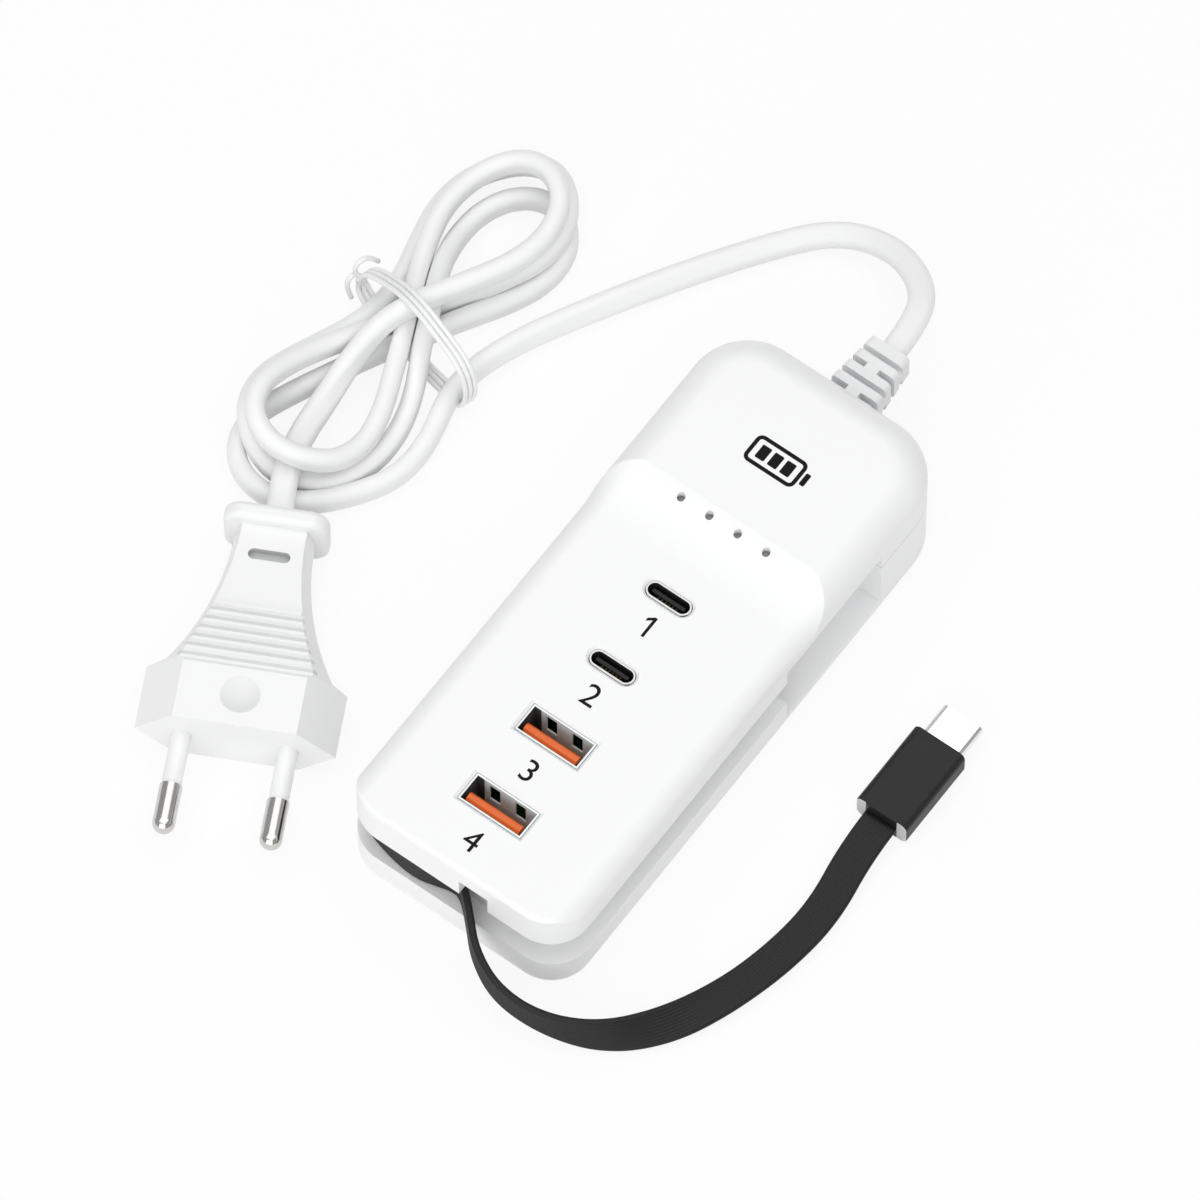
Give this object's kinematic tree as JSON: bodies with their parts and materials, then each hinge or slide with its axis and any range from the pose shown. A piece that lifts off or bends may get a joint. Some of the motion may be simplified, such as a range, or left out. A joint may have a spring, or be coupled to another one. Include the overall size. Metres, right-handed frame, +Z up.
{
  "type": "usb-c charger",
  "caption": "Desktop charger with USB sockets on a stepped white body, a flat USB-C cable that winds into a side groove, and a tied mains lead with a flat two-pin plug.",
  "frame": {"origin": "middle of the underside of the charger's body", "axes": "+Z up, +Y along the body towards the end where the mains lead leaves, +X across the body"},
  "size_m": [0.1447, 0.1681, 0.027],
  "materials": {
    "white_shell": "moulded, glossy",
    "white_boot": "soft moulded",
    "white_lead": "soft sheath, satin",
    "white_tie": "coated wire",
    "white_plug": "moulded, satin",
    "plated_pin": "nickel plated",
    "steel": "bright",
    "orange_insulator": "moulded",
    "black_plastic": "moulded",
    "black_cable": "satin sheath",
    "black_overmould": "satin",
    "gilt_contact": "plated",
    "board": "solder mask",
    "smoked_plastic": "smoked clear",
    "led": "clear",
    "ferrite": "sintered",
    "winding_tape": "taped",
    "copper": "enamelled wire",
    "can": "sleeved",
    "film_case": "moulded",
    "ceramic": "glazed",
    "blue_epoxy": "dipped",
    "aluminium": "stamped",
    "core_insulation": "insulation"
  },
  "bodies": {
    "root": {"board_screws": "steel", "bridge_rectifier": "black_plastic", "cable_free": "black_cable", "cable_in_groove": "black_cable", "choke_core": "ferrite", "choke_winding": "copper", "coil_former": "black_plastic", "coil_winding": "winding_tape", "controller_chips": "black_plastic", "disc_capacitor": "blue_epoxy", "film_capacitor": "film_case", "filter_capacitors": "can", "heat_sink": "aluminium", "indicator_leds": "led", "lead_cores": "core_insulation", "lead_tie": "white_tie", "light_guide": "smoked_plastic", "lower_housing": "white_shell", "main_board": "board", "mains_fuse": "ceramic", "mains_lead": "white_lead", "mains_lead_hank": "white_lead", "pin_sleeves": "white_plug", "plug_body": "white_plug", "plug_pins": "plated_pin", "power_switch": "black_plastic", "storage_capacitors": "can", "strain_relief": "white_boot", "transformer_core": "ferrite", "upper_housing": "white_shell", "usb_a_contacts_front": "gilt_contact", "usb_a_contacts_rear": "gilt_contact", "usb_a_shell_front": "steel", "usb_a_shell_rear": "steel", "usb_a_tongue_front": "orange_insulator", "usb_a_tongue_rear": "orange_insulator", "usb_c_contacts_front": "gilt_contact", "usb_c_contacts_rear": "gilt_contact", "usb_c_shell_front": "steel", "usb_c_shell_rear": "steel", "usb_c_tongue_front": "black_plastic", "usb_c_tongue_rear": "black_plastic", "usb_plug_insert": "black_plastic", "usb_plug_overmould": "black_overmould", "usb_plug_shell": "steel"}
  },
  "joints": []
}
